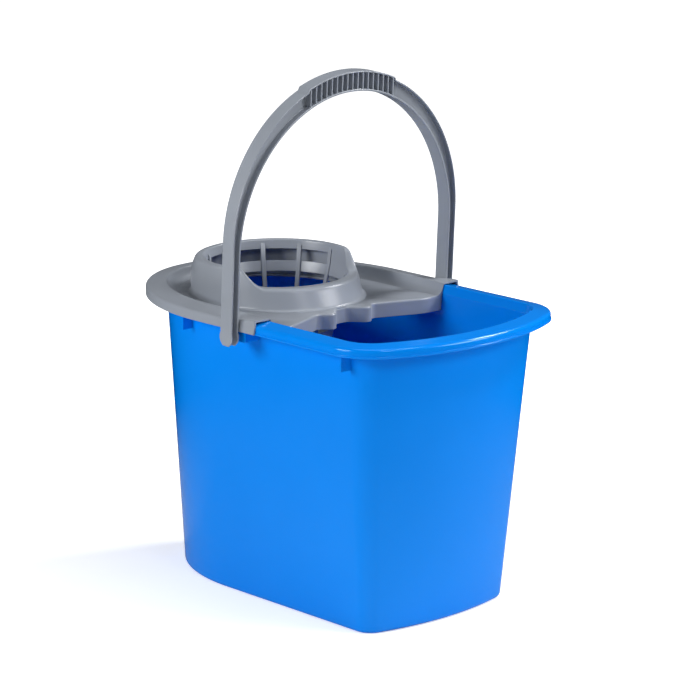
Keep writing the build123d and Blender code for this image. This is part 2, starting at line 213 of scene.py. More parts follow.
def plastic(name, dark, pale, sheen, gloss, blotch, grain, drag, depth):
    """Moulded plastic: dark to pale in blotches, rough over the gloss range, with grain and drag lines."""
    made = bpy.data.materials.new(name)
    made.use_nodes = True
    tree = made.node_tree
    place = add_node(tree, "ShaderNodeTexCoord")["Object"]
    patterns = []
    for size, upright, detail in (
        (blotch, 1.0, 2.0),
        (blotch / 4, 1.0, 4.0),
        (grain, 1.0, 2.0),
        (drag, DRAG_STRETCH, 2.0),
    ):
        scale = (1000 / size, 1000 / size, 1000 / size / upright)
        spread = add_node(tree, "ShaderNodeMapping", {"Vector": place, "Scale": scale})["Vector"]
        noise = {"Vector": spread, "Scale": 1.0, "Detail": detail}
        patterns.append(add_node(tree, "ShaderNodeTexNoise", noise)["Fac"])
    tones, mist, fine, lines = patterns

    # Most of the noise lies between 0.3 and 0.7.
    span = {"From Min": 0.3, "From Max": 0.7}
    tone = add_node(tree, "ShaderNodeMapRange", {"Value": tones, **span})["Result"]
    gloss_span = {**span, "To Min": gloss[0], "To Max": gloss[1]}
    rough = add_node(tree, "ShaderNodeMapRange", {"Value": mist, **gloss_span})["Result"]

    # A Mix node's inputs 6 and 7 are its two colours, and its output 2 is the mixed one.
    shades = {"Factor": tone, 6: linear(dark), 7: linear(pale)}
    colour = add_node(tree, "ShaderNodeMix", shades, data_type="RGBA")[2]
    relief = add_node(tree, "ShaderNodeMath", {0: fine, 1: lines}, operation="ADD")[0]
    height = {"Height": relief, "Strength": 1.0, "Distance": depth / 1000}
    bump = add_node(tree, "ShaderNodeBump", height)["Normal"]
    shader = tree.nodes["Principled BSDF"]
    shader.inputs["IOR"].default_value = POLYPROPYLENE_IOR
    shader.inputs["Specular Tint"].default_value = linear(sheen)
    tree.links.new(colour, shader.inputs["Base Color"])
    tree.links.new(rough, shader.inputs["Roughness"])
    tree.links.new(bump, shader.inputs["Normal"])
    return made


# The blue is even and strong, with a gloss that draws thin highlights and with faint upright drag lines on
# the wall. Its pigment shows in the gloss too, so that a highlight is a pale blue. The grain and the drag
# lines are drawn coarser than they are, so that they show.
blue = plastic(
    "blue polypropylene",
    dark="0084EC",
    pale="0087F0",
    sheen="C0E4FF",
    gloss=(0.13, 0.16),
    blotch=130,
    grain=2.2,
    drag=1.6,
    depth=0.006,
)

# Section of the rim, as depth inwards from the outside of the wall, height and corner radius.
rim_corners = [
    (0.0, 100.0, 0),
    (0.0, 280.6, 3.0),
    (-1.7, 288.2, 1.0),
    (-15.2, 286.0, 1.6),
    (-16.1, SKIRT_FOOT, 0.8),
    (-OVERHANG, SKIRT_FOOT, 0.8),
    (-OVERHANG, BEAD_TOP, 0.25),
    (BEAD_PROUD - OVERHANG, BEAD_TOP, 0.25),
    (BEAD_PROUD - OVERHANG, 287.9, 3.5),
    (-0.6, RIM_TOP + 0.05, 1.4),
    (WALL, 281.6, 4.0),
    (WALL, 100.0, 0),
]

# Two rings near each other keep the flat base and the flat floor from being shaded as curved.
shell_profile = [(BASE_INSET, 0.0), (BASE_INSET - 2.0, 0.0)]
shell_profile += rounded([(BASE_INSET, 0.0, 0), (0.0, 0.0, WALL_FOOT), (0.0, THROAT, 0)])
shell_profile += [(0.0, RING_STEP * i) for i in range(1, 9)]
shell_profile += rounded(rim_corners)
shell_profile += [(WALL, RING_STEP * i) for i in range(8, 0, -1)]
shell_profile += rounded([(WALL, 100.0, 0), (WALL, FLOOR_TOP, 5.0), (FLOOR_INSET, FLOOR_TOP, 0)])
shell_profile += [(FLOOR_INSET - 2.0, FLOOR_TOP), (FLOOR_INSET, FLOOR_TOP)]
shell_rings = [tub_ring(depth, z) for depth, z in shell_profile]
shell_faces = tube_faces(len(shell_rings), len(shell_rings[0]))
tub_shell = mesh_object("tub_shell", joined(shell_rings), shell_faces)
tub_shell.data.materials.append(blue)
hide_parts("tub_shell", "tub_base")
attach(tub_shell, "tub")

# Stacking ribs: short upright webs under the rim, which rest on the rim of the next tub so that stacked tubs
# don't jam. They are moulded with the wall, in the same blue polypropylene.

RIB_WALL = 2.2
RIB_FOOT = 262.2

rib_side = [(112.6, RIB_FOOT), (126.0, RIB_FOOT), (126.0, 287.2), (117.5, 288.4), (114.0, 281.6)]


def slab(outline, thickness):
    """Points and faces of a flat plate with that outline in y and z, centred on x = 0."""
    points = [(x, y, z) for x in (-thickness / 2, thickness / 2) for y, z in outline]
    return points, tube_faces(2, len(outline))


def soften(piece, width):
    """Rounds the sharp edges of a piece by that width in millimetres."""
    bevel = piece.modifiers.new("Rounded edges", "BEVEL")
    bevel.width = width / 1000
    bevel.segments = 2
    bevel.limit_method = "ANGLE"
    bevel.angle_limit = radians(35)
    bevel.harden_normals = True


def new_tree(name, inputs):
    """Geometry Nodes tree from geometry to geometry with these named inputs, and the sockets they give."""
    tree = bpy.data.node_groups.new(name, "GeometryNodeTree")
    tree.interface.new_socket("Geometry", in_out="INPUT", socket_type="NodeSocketGeometry")
    tree.interface.new_socket("Geometry", in_out="OUTPUT", socket_type="NodeSocketGeometry")
    for socket, kind in inputs.items():
        tree.interface.new_socket(socket, in_out="INPUT", socket_type="NodeSocket" + kind)
    return tree, add_node(tree, "NodeGroupInput")


def end_tree(tree, points, given, rotation):
    """Puts the given geometry on each point, as a real mesh with its material."""
    placed = {"Points": points, "Instance": given["Geometry"], "Rotation": rotation}
    copies = add_node(tree, "GeometryNodeInstanceOnPoints", placed)[0]
    real = add_node(tree, "GeometryNodeRealizeInstances", {"Geometry": copies})[0]
    painted = {"Geometry": real, "Material": given["Material"]}
    done = add_node(tree, "GeometryNodeSetMaterial", painted)[0]
    add_node(tree, "NodeGroupOutput", {"Geometry": done})


def repeated(piece, tree, **values):
    """Swaps a piece's mesh for what the tree makes of it with these named inputs."""
    pattern = piece.modifiers.new("Pattern", "NODES")
    pattern.node_group = tree
    for socket in tree.interface.items_tree:
        if socket.name in values:
            pattern[socket.identifier] = values[socket.name]
    seen = piece.evaluated_get(bpy.context.evaluated_depsgraph_get())
    mesh = bpy.data.meshes.new_from_object(seen)
    piece.modifiers.remove(pattern)
    piece.data = mesh


# The copies are turned about an upright axis, from the first angle on by equal steps.
fan_inputs = {"Material": "Material", "Count": "Int", "First": "Float", "Step": "Float", "Axis": "Float"}
fan_tree, given = new_tree("Fan round an upright axis", fan_inputs)
index = add_node(fan_tree, "GeometryNodeInputIndex")[0]
fan = {0: index, 1: given["Step"], 2: given["First"]}
turn = add_node(fan_tree, "ShaderNodeMath", fan, operation="MULTIPLY_ADD")[0]
rotation = add_node(fan_tree, "ShaderNodeCombineXYZ", {"Z": turn})[0]
axis = add_node(fan_tree, "ShaderNodeCombineXYZ", {"X": given["Axis"]})[0]
spots = add_node(fan_tree, "GeometryNodePoints", {"Count": given["Count"], "Position": axis})[0]
end_tree(fan_tree, spots, given, rotation)

# The rear pair stands where the wall has begun to curve in, so it is shifted towards the middle.
for name, rib_x, shift in (("rear", -79.0, -2.9), ("front", 150.0, 0.0)):
    shifted_side = [(y + shift, z) for y, z in rib_side]
    stack_ribs = mesh_object("tub_stack_ribs_" + name, *slab(shifted_side, RIB_WALL))
    repeated(stack_ribs, fan_tree, Material=blue, Count=2, First=0.0, Step=pi, Axis=rib_x / 1000)
    soften(stack_ribs, 0.6)
    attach(stack_ribs, "tub")

# Pivot lugs: blocks under the rim on both long sides, each with a blind bore that a peg of the bail snaps
# into. They are moulded with the wall, in the same blue polypropylene.

PIVOT_X = 12.0
PIVOT_Z = 274.3
LUG_FACE = 132.0
LUG_BACK = 113.2
LUG_FLARE = 0.25
LUG_FLARE_FOOT = 5.5
BORE = 3.1
BORE_END = 115.6
ROUND_STEPS = 32

lug_half = [(11.0, -6.0), (12.5, -4.5), (12.5, 6.7), (12.5, 12.5)]
lug_outline = [(-x, z) for x, z in lug_half[::-1]] + lug_half


def circle(count, radius=1.0):
    """Points round a circle."""
    turns = [2 * pi * i / count for i in range(count)]
    return [(radius * cos(turn), radius * sin(turn)) for turn in turns]


def pierced(outline, holes):
    """2-D points and triangles of a flat outline with holes, all of them counter-clockwise."""
    loops = [outline] + holes
    points = [Vector(point) for loop in loops for point in loop]
    faces = []
    for loop in loops:
        first = sum(len(face) for face in faces)
        faces.append(list(range(first, first + len(loop))))
    result = delaunay_2d_cdt(points, [], faces, 0, 1e-6, True)
    kept = [list(face) for face, origin in zip(result[2], result[5]) if origin == [0]]
    return [tuple(point) for point in result[0]], kept


def add_patch(points, faces, more_points, more_faces):
    """Adds a patch's points and faces to those of a piece."""
    first = len(points)
    points += more_points
    faces += [[first + i for i in face] for face in more_faces]


def beside_pivot(x, z, y):
    """Point that is x and z away from the pivot's axis, at that y."""
    return (PIVOT_X + x, y, PIVOT_Z + z)


bore = circle(ROUND_STEPS, BORE)
lug_flat, lug_triangles = pierced(lug_outline, [bore])
lug_points = []
lug_faces = []
for side in (1, -1):
    lug_front = [beside_pivot(x, z, side * LUG_FACE) for x, z in lug_flat]
    add_patch(lug_points, lug_faces, lug_front, lug_triangles)
    for loop, depth in ((lug_outline, LUG_BACK), (bore, BORE_END)):
        count = len(loop)
        ends = [depth + LUG_FLARE * max(0.0, z - LUG_FLARE_FOOT) for x, z in loop]
        sides = [beside_pivot(x, z, side * LUG_FACE) for x, z in loop]
        sides += [beside_pivot(x, z, side * end) for (x, z), end in zip(loop, ends)]
        add_patch(lug_points, lug_faces, sides, grid_faces(2, count) + [list(range(count, 2 * count))])
pivot_lugs = mesh_object("tub_pivot_lugs", lug_points, lug_faces, merge=True)
soften(pivot_lugs, 0.5)
pivot_lugs.data.materials.append(blue)
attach(pivot_lugs, "tub")

# Wringer cover: a channel that clips over the rear of the rim, a sunk plate inside it and an apron that hangs
# from the plate's wavy front edge. It is part of the wringer's one moulding, in grey polypropylene.

COVER_END = 40.5
SHOULDER = 38.0
PLATE_TOP = 281.0
PLATE_FOOT = 279.0
PLATE_INSET = 22.6
PLATE_SETBACK = 3.5
EDGE_HALF_WIDTH = 114.0
APRON_FOOT = 265.5
APRON_WALL = 2.0
TUB_REACH = 111.8
TUB_LEAN = 0.078
AXIS_X = -79.0
HOLE_HALF_LENGTH = 88.0
HOLE_HALF_WIDTH = 78.0
COVER_SIDE_STEPS = 24
COVER_TAIL_STEPS = 40

# The grey is cool and satin, with a soft broad sheen, a fine spark grain with faint drag lines, and faintly
# paler patches where the melt ran. The grain and the drag lines are drawn coarser than they are, so that
# they show.
grey = plastic(
    "grey polypropylene",
    dark="90969F",
    pale="949AA4",
    sheen="FFFFFF",
    gloss=(0.28, 0.32),
    blotch=60,
    grain=1.1,
    drag=1.4,
    depth=0.004,
)


def rear_plan(inset):
    """Points round the covered part of the rim, from its left end past the tail to its right end."""
    half_width = RIM_HALF_WIDTH - inset
    tail = RIM_TAIL - inset
    tail_x = RIM_TAIL - RIM_REAR
    half = []
    for i in range(COVER_SIDE_STEPS):
        half.append((COVER_END + (tail_x - COVER_END) * i / COVER_SIDE_STEPS, half_width))
    for i in range(COVER_TAIL_STEPS + 1):
        turn = pi / 2 * i / COVER_TAIL_STEPS
        half.append((tail_x - tail * sin(turn), half_width * cos(turn)))
    return half + [(x, -y) for x, y in half[-2::-1]]


# Section of the channel, as inset from the rim's outer edge, height and corner radius.
channel_corners = [
    (-2.3, 279.6, 0.5),
    (-2.3, 289.4, 3.0),
    (19.6, 292.9, 2.6),
    (23.9, 281.1, 9.0),
    (37.0, 280.6, 0.2),
    (37.0, 280.0, 0.2),
    (21.9, 280.0, 0.2),
    (21.9, 281.4, 0.4),
    (19.6, 290.9, 0.8),
    (-0.3, 287.2, 2.0),
    (-0.3, 279.6, 0.5),
]

# Towards its two ends the channel fills out to a square shoulder, whose flat top widens to the end.
end_corners = channel_corners[:1] + [(-0.2, 293.4, 2.0), (19.6, 292.2, 1.6)]
end_corners += channel_corners[3:9] + [(1.6, 291.2, 1.2)] + channel_corners[-1:]
channel_profile = rounded(channel_corners[-1:] + channel_corners + channel_corners[:1])
end_profile = rounded(end_corners[-1:] + end_corners + end_corners[:1])


def ease(share):
    """Share from 0 to 1, with a gentle start and end."""
    return share * share * (3 - 2 * share)


def channel_point(x, y, slope, square):
    """Point of the channel, which goes from the sloped to the square profile over its last stretch."""
    share = max(0.0, (x - COVER_END) / SHOULDER + 1.0)
    spot = slope.lerp(square, ease(share))
    return (x, copysign(RIM_HALF_WIDTH - spot.x, y), spot.y) if share > 0 else (x, y, slope.y)


channel_rows = []
for slope, square in zip(channel_profile, end_profile):
    channel_rows.append([channel_point(x, y, slope, square) for x, y in rear_plan(slope.x)])
run = len(channel_rows[0])
channel_faces = grid_faces(len(channel_rows), run, around=False, along=True)
for end in (0, run - 1):
    channel_faces.append([row * run + end for row in range(len(channel_rows))])
channel = mesh_object("wringer_channel", joined(channel_rows), channel_faces)
channel.data.materials.append(grey)
soften(channel, 0.5)
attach(channel, "wringer")

# Front edge of the plate, from its left end: it runs in to a dip, out to a lobe and in to a notch on the
# middle line, and then the same way back.
edge_half = [(COVER_END, 120.0, 0), (COVER_END, 88.0, 40.0)]
edge_half += [(20.5, 35.5, 7.0), (33.0, 23.0, 7.0), (15.0, 7.0, 8.0)]
edge_corners = edge_half + [(x, -y, radius) for x, y, radius in edge_half[::-1]]
edge_path = [Vector((COVER_END, EDGE_HALF_WIDTH))] + rounded(edge_corners, 12)
edge_path.append(Vector((COVER_END, -EDGE_HALF_WIDTH)))


def edge_at(setback):
    """Front edge of the plate, moved back by setback."""
    ends = [edge_path[0] + Vector((0, 1))] + edge_path + [edge_path[-1] - Vector((0, 1))]
    moved = []
    for before, point, after in zip(ends, edge_path, ends[2:]):
        along = (after - before).normalized()
        moved.append(point + Vector((along.y, -along.x)) * setback)
    return moved


def inside_tub(x, y, z):
    """The point, held clear of the tub's leaning wall."""
    reach = TUB_REACH - (PLATE_TOP - z) * TUB_LEAN
    return (x, max(-reach, min(reach, y)), z)


# Section of the apron, as setback from the plate's front edge, height and corner radius.
apron_corners = [
    (3.0, PLATE_TOP, 0),
    (0.0, PLATE_TOP, 2.0),
    (0.0, APRON_FOOT, 0.6),
    (APRON_WALL, APRON_FOOT, 0.6),
    (APRON_WALL, PLATE_FOOT, 0),
]
apron_profile = [(3.2, PLATE_TOP)] + rounded(apron_corners) + [(APRON_WALL, PLATE_FOOT)]
apron_rows = [[inside_tub(x, y, z) for x, y in edge_at(setback)] for setback, z in apron_profile]
plate_points = joined(apron_rows)
plate_faces = grid_faces(len(apron_rows), len(edge_path), around=False)
plate_rear = [point for point in rear_plan(PLATE_INSET) if point[0] < COVER_END - PLATE_SETBACK]
hood_hole = [(AXIS_X + HOLE_HALF_LENGTH * x, HOLE_HALF_WIDTH * y) for x, y in circle(ROUND_STEPS)]
for row, z in ((apron_rows[0], PLATE_TOP), (apron_rows[-1], PLATE_FOOT)):
    flat, triangles = pierced(plate_rear + [point[:2] for point in row[::-1]], [hood_hole])
    add_patch(plate_points, plate_faces, [(x, y, z) for x, y in flat], triangles)
for loop in (plate_rear, hood_hole):
    sides = [(x, y, z) for z in (PLATE_TOP, PLATE_FOOT) for x, y in loop]
    add_patch(plate_points, plate_faces, sides, grid_faces(2, len(loop), around=loop is hood_hole))
plate = mesh_object("wringer_plate", plate_points, plate_faces, merge=True, fill=True)
plate.data.materials.append(grey)
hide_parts("wringer_cover")
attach(plate, "wringer")

# Wringer hood: an oval wall that stands on the plate and closes in to a round lip, low at the front where the
# mop goes in. It is moulded with the plate and the strainer, and its lip is rolled over into the strainer's
# mouth.

HOOD_TOP = 320.0
FRONT_TOP = 302.0
HOOD_FRONT = 12.0
LIP_FRONT = -5.3
HOOD_REAR = 170.0
LIP_REAR = 159.3
HOOD_HALF_WIDTH = 81.0
LIP_HALF_WIDTH = 78.5
HOOD_CURL = 3.2
HOOD_WALL = 2.0
HOOD_LIFT = 0.02
FOOT_ROUND = 2.6
WALL_START = 284.6
OUTER_RAMP = {"foot": -28.0, "run": 22.0}
INNER_RAMP = {"foot": -41.0, "run": 17.0}
LIP_ROLL = 4.0
LIP_EDGE = 1.8
LIP_BORE = 72.6
WINDOW_TOP = 310.6
RING_TOP = 298.6
RING_FOOT = 288.4
RING_HEIGHTS = (RING_TOP, 295.0, 292.0, RING_FOOT)
RING_BORE = 69.6
CUP_FLOOR = 208.5
CUP_BORE = 45.0
HOOD_COLUMNS = 240


def lip_height(x, foot, run):
    """Height of the lip at x: low in front of the foot, with an S-shaped ramp up to the high part."""
    share = max(0.0, min(1.0, (foot - x) / run))
    return blend(FRONT_TOP, HOOD_TOP, ease(share))


def hood_wall(turn, z):
    """Outside of the hood at height z, on the column at that angle."""
    share = (z - PLATE_TOP) / (HOOD_TOP - PLATE_TOP)
    curl = max(0.0, share) ** HOOD_CURL
    front = blend(HOOD_FRONT, LIP_FRONT, share)
    rear = blend(HOOD_REAR, LIP_REAR, curl)
    half_width = blend(HOOD_HALF_WIDTH, LIP_HALF_WIDTH, curl)
    return Vector(((front - rear) / 2 + (front + rear) / 2 * cos(turn), half_width * sin(turn), z))


def bore_radius(z):
    """Inner radius of the strainer: a cone up to the top of its ring, then a steeper band up to the lip."""
    if z > RING_TOP:
        return blend(RING_BORE, LIP_BORE, (z - RING_TOP) / (HOOD_TOP - RING_TOP))
    return blend(CUP_BORE, RING_BORE, (z - CUP_FLOOR) / (RING_TOP - CUP_FLOOR))


def bore_wall(turn, z):
    """Inside of the strainer at height z, on the column at that angle."""
    return Vector((AXIS_X + bore_radius(z) * cos(turn), bore_radius(z) * sin(turn), z))


def bend(start, corner, end, steps):
    """Points of a smooth turn from start to end that heads for the corner, without its first point."""
    shares = [i / steps for i in range(1, steps + 1)]
    return [start * (1 - t) ** 2 + corner * (2 * t * (1 - t)) + end * t * t for t in shares]


def hood_column(turn):
    """Points on one column: up the hood's outside, over the lip and down to the foot of the ring."""
    out = Vector((cos(turn), sin(turn), 0))
    foot = hood_wall(turn, PLATE_TOP) + Vector((0, 0, HOOD_LIFT))
    rise = lip_height(hood_wall(turn, FRONT_TOP).x, **OUTER_RAMP)
    top = lip_height(bore_wall(turn, FRONT_TOP).x, **INNER_RAMP)
    outer = hood_wall(turn, rise)
    inner = bore_wall(turn, top)
    across = outer - inner
    roll = min(LIP_ROLL, 0.5 * across.length)
    across.normalize()
    sill = top - LIP_EDGE
    column = [foot + out * (FOOT_ROUND + 0.2)]
    column += bend(foot + out * FOOT_ROUND, foot, hood_wall(turn, PLATE_TOP + FOOT_ROUND), 5)
    column += [hood_wall(turn, blend(WALL_START, rise - roll, i / 10)) for i in range(11)]
    column += bend(hood_wall(turn, rise - roll), outer, outer - across * roll, 7)
    column.append(inner + across * LIP_EDGE)
    column += bend(inner + across * LIP_EDGE, inner, bore_wall(turn, sill), 5)
    column.append(bore_wall(turn, blend(sill, RING_TOP, 0.4) if cos(turn) > 0 else WINDOW_TOP))
    return column + [bore_wall(turn, z) for z in RING_HEIGHTS]


hood_columns = [hood_column(2 * pi * (i + 0.5) / HOOD_COLUMNS) for i in range(HOOD_COLUMNS)]
stations = len(hood_columns[0])

# In the rear half the hood is open between the top of the windows and the top of the ring.
window_row = stations - len(RING_HEIGHTS) - 1
hood_faces = []
for face in grid_faces(HOOD_COLUMNS, stations, around=False, along=True):
    turn = 2 * pi * (face[0] // stations + 1) / HOOD_COLUMNS
    if face[0] % stations != window_row or cos(turn) > 0.001:
        hood_faces.append(face[::-1])
hood = mesh_object("wringer_hood_wall", joined(hood_columns), hood_faces, closed=False)
thick = hood.modifiers.new("Wall", "SOLIDIFY")
thick.thickness = HOOD_WALL / 1000
thick.offset = -1.0
soften(hood, 0.4)
hood.data.materials.append(grey)
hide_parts("wringer_hood")
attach(hood, "wringer")

# Strainer cup: the bottom of the basket, a tapered cup with drain slots in its floor, hung on the ribs. It is
# part of the wringer's moulding, in the same grey polypropylene.

CUP_TOP = 248.8
CUP_FOOT = 206.0
CUP_WALL = 2.0
CUP_FOOT_RADIUS = 46.3
CUP_STEPS = 96
FLOOR_RADIUS = 41.0
DRAINS = 8
DRAIN_REACH = 28.0
DRAIN_HALF_RUN = 5.5
DRAIN_END = 2.5

cup_corners = [
    (FLOOR_RADIUS + 1.0, CUP_FLOOR, 0),
    (CUP_BORE, CUP_FLOOR, 1.5),
    (bore_radius(CUP_TOP), CUP_TOP, 0.8),
    (bore_radius(CUP_TOP) + CUP_WALL, CUP_TOP, 0.8),
    (CUP_FOOT_RADIUS, CUP_FOOT, 1.5),
    (FLOOR_RADIUS + 1.0, CUP_FOOT, 0),
]
cup_profile = [(FLOOR_RADIUS, CUP_FLOOR)] + rounded(cup_corners) + [(FLOOR_RADIUS, CUP_FOOT)]
cup_points = []
for radius, z in cup_profile:
    cup_points += [(AXIS_X + x, y, z) for x, y in circle(CUP_STEPS, radius)]
cup_faces = grid_faces(len(cup_profile), CUP_STEPS)
drain_turns = [pi * (i / 8 - 0.5) for i in range(9)]
drain_end = [(DRAIN_HALF_RUN + DRAIN_END * cos(turn), DRAIN_END * sin(turn)) for turn in drain_turns]
drain_slot = [(DRAIN_REACH + x, y) for x, y in drain_end] + [(DRAIN_REACH - x, -y) for x, y in drain_end]
drains = []
for cosine, sine in circle(DRAINS):
    drains.append([(x * cosine - y * sine, x * sine + y * cosine) for x, y in drain_slot])
flat, triangles = pierced(circle(CUP_STEPS, FLOOR_RADIUS), drains)
for z in (CUP_FLOOR, CUP_FOOT):
    add_patch(cup_points, cup_faces, [(AXIS_X + x, y, z) for x, y in flat], triangles)
for drain in drains:
    sides = [(AXIS_X + x, y, z) for z in (CUP_FLOOR, CUP_FOOT) for x, y in drain]
    add_patch(cup_points, cup_faces, sides, grid_faces(2, len(drain)))
cup = mesh_object("wringer_strainer_cup", cup_points, cup_faces, merge=True)
cup.data.materials.append(grey)
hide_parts("wringer_strainer")
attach(cup, "wringer")

# Strainer ribs: upright bars round the basket that the mop is wrung against, five short ones under the low
# front lip and seven tall ones behind. They are moulded with the ring and the cup that they join.

BAR_WIDTH = 4.5
BAR_PROUD = 1.5
BAR_BACK = 1.6
BAR_TIP = 0.4
BAR_SLANT = 3.5
BAR_SINK = 0.5
BAR_STEP = radians(30)
TALL_BAR_TOP = 317.0


def bar_side(top):
    """Side view of one bar up to that height, as radius and height."""
    foot = CUP_FLOOR - BAR_SINK
    side = [(CUP_BORE - BAR_PROUD, foot), (CUP_BORE + BAR_BACK, foot), (RING_BORE + BAR_BACK, RING_TOP)]
    if top > RING_TOP:
        side.append((bore_radius(top) + BAR_BACK, top))
    side.append((bore_radius(top) + BAR_TIP, top))
    side.append((bore_radius(top - BAR_SLANT) - BAR_PROUD, top - BAR_SLANT))
    if top > RING_TOP:
        side.append((RING_BORE - BAR_PROUD, RING_TOP))
    return side


quarter = Matrix.Rotation(radians(-90), 4, "Z")
for name, top, count, degrees in (("short", RING_TOP, 5, -60), ("tall", TALL_BAR_TOP, 7, 90)):
    bars = mesh_object("wringer_strainer_bars_" + name, *slab(bar_side(top), BAR_WIDTH), quarter)
    first = radians(degrees)
    repeated(bars, fan_tree, Material=grey, Count=count, First=first, Step=BAR_STEP, Axis=AXIS_X / 1000)
    soften(bars, 0.7)
    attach(bars, "wringer")

# Bail handle: an arch of I section, deeper at the crown, whose legs end in round ears with a peg on each. It
# is one moulding in grey polypropylene that springs apart to snap its pegs into the tub's lugs.

LEG_INNER = 136.8
LEG_OUTER = 146.0
INNER_RISE = 143.0
OUTER_RISE = 150.0
INNER_SPRING = 78.3
OUTER_SPRING = 88.5
LEG_MIDDLE = (LEG_INNER + LEG_OUTER) / 2
MIDDLE_RISE = (INNER_RISE + OUTER_RISE) / 2
MIDDLE_SPRING = (INNER_SPRING + OUTER_SPRING) / 2
BAIL_HALF_WIDTH = 8.0
INNER_FLANGE = 2.1
OUTER_FLANGE = 1.5
LEG_WEB = 1.6
GRIP_WEB = 0.8
GRIP_ANGLE = radians(21.8)
GRIP_PROUD = 2.35
GRIP_CHANGE = 0.008
GRIP_STEPS = 14
POCKET_ANGLE = radians(24.6)
POCKET_CHANGE = 0.001
ARCH_STEPS = 30
EAR = 9.1
EAR_TIP = 4.6
EAR_FIRST = 24.0
EAR_SWEEP = 100.0
EAR_STEPS = 16
LEAN = radians(3)

leg_heights = (6.0, 7.0, 9.0, 14.0, 30.0, 50.0, 70.0, 80.0)
bail_place = Matrix.Translation((PIVOT_X, 0, PIVOT_Z)) @ Matrix.Rotation(LEAN, 4, "Y")


def reach(point, way, half_width, rise, spring):
    """Distance from a point, along a direction, to an arch of straight legs and a half ellipse."""
    py, pz = point.x, point.y - spring
    a = (way.x / half_width) ** 2 + (way.y / rise) ** 2
    b = py * way.x / half_width**2 + pz * way.y / rise**2
    c = (py / half_width) ** 2 + (pz / rise) ** 2 - 1
    far = (-b + sqrt(b * b - a * c)) / a
    if pz + far * way.y >= 0:
        return far
    return (half_width - py) / way.x


def i_section(inner, outer, half_width, web):
    """Closed I-shaped section from inner to outer, as (distance out, distance across) points."""
    half = [
        (outer, half_width, 0.6),
        (outer - OUTER_FLANGE, half_width, 0.6),
        (outer - OUTER_FLANGE, web, 0.6),
        (inner + INNER_FLANGE, web, 0.6),
        (inner + INNER_FLANGE, half_width, 0.7),
        (inner, half_width, 0.7),
    ]
    corners = half + [(u, -v, radius) for u, v, radius in half[::-1]]
    return rounded(corners[-1:] + corners + corners[:1], 3)


def bail_row(middle, way, half_width, web, raised=0.0):
    """Points of one section of the bail, through a point of its middle line and across it."""
    outer = reach(middle, way, LEG_OUTER, OUTER_RISE, OUTER_SPRING) + raised
    inner = reach(middle, way, LEG_INNER, INNER_RISE, INNER_SPRING)
    section = i_section(inner, outer, half_width, web)
    return [(v, middle.x + way.x * u, middle.y + way.y * u) for u, v in section]


def leg_row(height, half_width):
    """Points of one level section of a leg or an ear, at that height above the pivot."""
    return bail_row(Vector((LEG_MIDDLE, height)), Vector((1, 0)), half_width, LEG_WEB)


bail_rows = []
for i in range(EAR_STEPS + 1):
    height = -EAR * cos(radians(EAR_FIRST + EAR_SWEEP * i / EAR_STEPS))
    bail_rows.append(leg_row(height, max(sqrt(EAR**2 - height * height), EAR_TIP)))
bail_rows += [leg_row(height, BAIL_HALF_WIDTH) for height in leg_heights]

# The web is thicker in the legs than in the grip, where it leaves deep pockets for the ribs.
pocket = pi / 2 - POCKET_ANGLE
step = pi / 2 - GRIP_ANGLE
turns = [pocket * i / ARCH_STEPS for i in range(ARCH_STEPS)]
turns += [pocket - POCKET_CHANGE, pocket + POCKET_CHANGE, step - GRIP_CHANGE, step + GRIP_CHANGE]
turns += [step + GRIP_ANGLE * i / GRIP_STEPS for i in range(1, GRIP_STEPS + 1)]
for turn in turns:
    middle = Vector((LEG_MIDDLE * cos(turn), MIDDLE_SPRING + MIDDLE_RISE * sin(turn)))
    way = Vector((cos(turn) / LEG_MIDDLE, sin(turn) / MIDDLE_RISE)).normalized()
    web = GRIP_WEB if turn > pocket else LEG_WEB
    raised = GRIP_PROUD if turn > step else 0.0
    bail_rows.append(bail_row(middle, way, BAIL_HALF_WIDTH, web, raised))
bail_rows += [[(v, -y, z) for v, y, z in row] for row in bail_rows[-2::-1]]
bail_faces = tube_faces(len(bail_rows), len(bail_rows[0]))
bail_arch = mesh_object("bail_arch", joined(bail_rows), bail_faces, bail_place)
bail_arch.data.materials.append(grey)
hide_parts("bail_arch", "bail_leg_left", "bail_leg_right")
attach(bail_arch, "bail")

# Grip ribs: thin upright webs between the two flanges of the crown, which stiffen it and give the fingers a
# hold. They are moulded with the arch.

GRIP_RIBS = 17
GRIP_HALF_RUN = 53.3
GRIP_RIB_WALL = 1.6
GRIP_RIB_HEIGHT = 18.4
GRIP_RIB_WIDTH = 15.4
GRIP_RIB_LIFT = 1.2

# The copies stand side by side, each at the height of an oval arch.
row_inputs = {"Material": "Material", "Count": "Int", "First": "Float", "Step": "Float"}
row_inputs.update({"Reach": "Float", "Rise": "Float", "Spring": "Float"})
row_tree, given = new_tree("Ribs under an arch", row_inputs)
index = add_node(row_tree, "GeometryNodeInputIndex")[0]
row = {0: index, 1: given["Step"], 2: given["First"]}
across = add_node(row_tree, "ShaderNodeMath", row, operation="MULTIPLY_ADD")[0]
share = add_node(row_tree, "ShaderNodeMath", {0: across, 1: given["Reach"]}, operation="DIVIDE")[0]
lean = add_node(row_tree, "ShaderNodeMath", {0: share}, operation="ARCSINE")[0]
crown = add_node(row_tree, "ShaderNodeMath", {0: lean}, operation="COSINE")[0]
arch = {0: crown, 1: given["Rise"], 2: given["Spring"]}
level = add_node(row_tree, "ShaderNodeMath", arch, operation="MULTIPLY_ADD")[0]
spot = add_node(row_tree, "ShaderNodeCombineXYZ", {"Y": across, "Z": level})[0]
spots = add_node(row_tree, "GeometryNodePoints", {"Count": given["Count"], "Position": spot})[0]
end_tree(row_tree, spots, given, (0, 0, 0))

